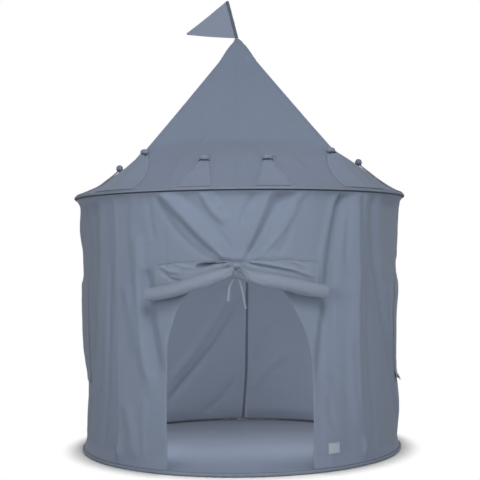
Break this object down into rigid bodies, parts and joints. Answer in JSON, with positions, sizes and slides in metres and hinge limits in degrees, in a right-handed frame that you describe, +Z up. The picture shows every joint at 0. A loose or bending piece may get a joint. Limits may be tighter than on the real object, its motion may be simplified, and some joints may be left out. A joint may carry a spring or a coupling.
{
  "type": "play tent",
  "caption": "Round cloth play tent with a pointed crowned roof, a rolled-up door curtain tied over an arched doorway, covered side windows and a pennant on a leaning mast.",
  "frame": {"origin": "centre of the floor cloth's underside, on the tent's upright axis", "axes": "+Z up, the doorway faces -Y, +X to the right of someone who looks in through the doorway"},
  "size_m": [0.9986, 1.0242, 1.3609],
  "materials": {
    "wall_cloth": "matte woven cotton",
    "roof_cloth": "matte woven cotton",
    "crown_cloth": "matte woven cotton",
    "curtain_cloth": "matte woven cotton",
    "flag_cloth": "matte woven cotton",
    "floor_cloth": "matte woven cotton",
    "casing_cloth": "matte woven tape",
    "lining_cloth": "matte woven cotton",
    "seam_cloth": "matte woven tape",
    "net": "matte open net",
    "ribbon": "matte woven ribbon",
    "label": "matte woven label",
    "rod": "satin spring steel",
    "pole": "satin glass fibre",
    "fitting": "matte moulded"
  },
  "bodies": {
    "tent": {"apex_hub": "fitting", "back_seam_binding": "seam_cloth", "base_hoop": "rod", "blank_label": "label", "crown_point_01": "crown_cloth", "crown_point_02": "crown_cloth", "crown_point_03": "crown_cloth", "crown_point_04": "crown_cloth", "crown_point_05": "crown_cloth", "crown_point_06": "crown_cloth", "crown_point_07": "crown_cloth", "crown_point_08": "crown_cloth", "crown_point_09": "crown_cloth", "crown_point_10": "crown_cloth", "crown_point_11": "crown_cloth", "crown_point_12": "crown_cloth", "door_curtain": "curtain_cloth", "eave_casing": "casing_cloth", "eave_elbow_back_left": "fitting", "eave_elbow_back_right": "fitting", "eave_elbow_front_left": "fitting", "eave_elbow_front_right": "fitting", "eave_hoop": "rod", "floor_sheet": "floor_cloth", "hem_casing": "casing_cloth", "pole_foot_back_left": "fitting", "pole_foot_back_right": "fitting", "pole_foot_front_left": "fitting", "pole_foot_front_right": "fitting", "pole_sleeve_back_left": "lining_cloth", "pole_sleeve_back_right": "lining_cloth", "pole_sleeve_front_left": "lining_cloth", "pole_sleeve_front_right": "lining_cloth", "roof_back": "roof_cloth", "roof_front": "roof_cloth", "roof_left": "roof_cloth", "roof_pole_back_left": "pole", "roof_pole_back_right": "pole", "roof_pole_front_left": "pole", "roof_pole_front_right": "pole", "roof_right": "roof_cloth", "wall_front": "wall_cloth", "wall_left": "wall_cloth", "wall_pole_back_left": "pole", "wall_pole_back_right": "pole", "wall_pole_front_left": "pole", "wall_pole_front_right": "pole", "wall_right": "wall_cloth", "window_net_left": "net", "window_net_right": "net"},
    "mast": {"flag_mast": "pole"},
    "flag": {"flag": "flag_cloth"},
    "curtain_roll": {"door_roll": "curtain_cloth", "door_tie": "ribbon", "door_tie_tail_left": "ribbon", "door_tie_tail_right": "ribbon"},
    "cover_left": {"window_cover_left": "wall_cloth"},
    "cover_right": {"window_cover_right": "wall_cloth"}
  },
  "joints": [
    {"name": "mast_lift", "type": "slide", "parent": "tent", "child": "mast", "axis": [-0.2419, 0, 0.9703], "range_m": [0, 0.06]},
    {"name": "flag_swivel", "type": "hinge", "parent": "mast", "child": "flag", "pos_m": [-0.00349, 0, 1.248], "axis": [-0.2419, 0, 0.9703], "continuous": true},
    {"name": "curtain_lower", "type": "slide", "parent": "tent", "child": "curtain_roll", "axis": [0, 0, -1], "range_m": [0, 0.44], "deforming": ["door_curtain"]},
    {"name": "cover_right_lift", "type": "hinge", "parent": "tent", "child": "cover_right", "pos_m": [0.47759, 0, 0.522], "axis": [0, -1, 0], "range_deg": [0, 120]},
    {"name": "cover_left_lift", "type": "hinge", "parent": "tent", "child": "cover_left", "pos_m": [-0.47759, 0, 0.522], "axis": [0, 1, 0], "range_deg": [0, 120]}
  ]
}
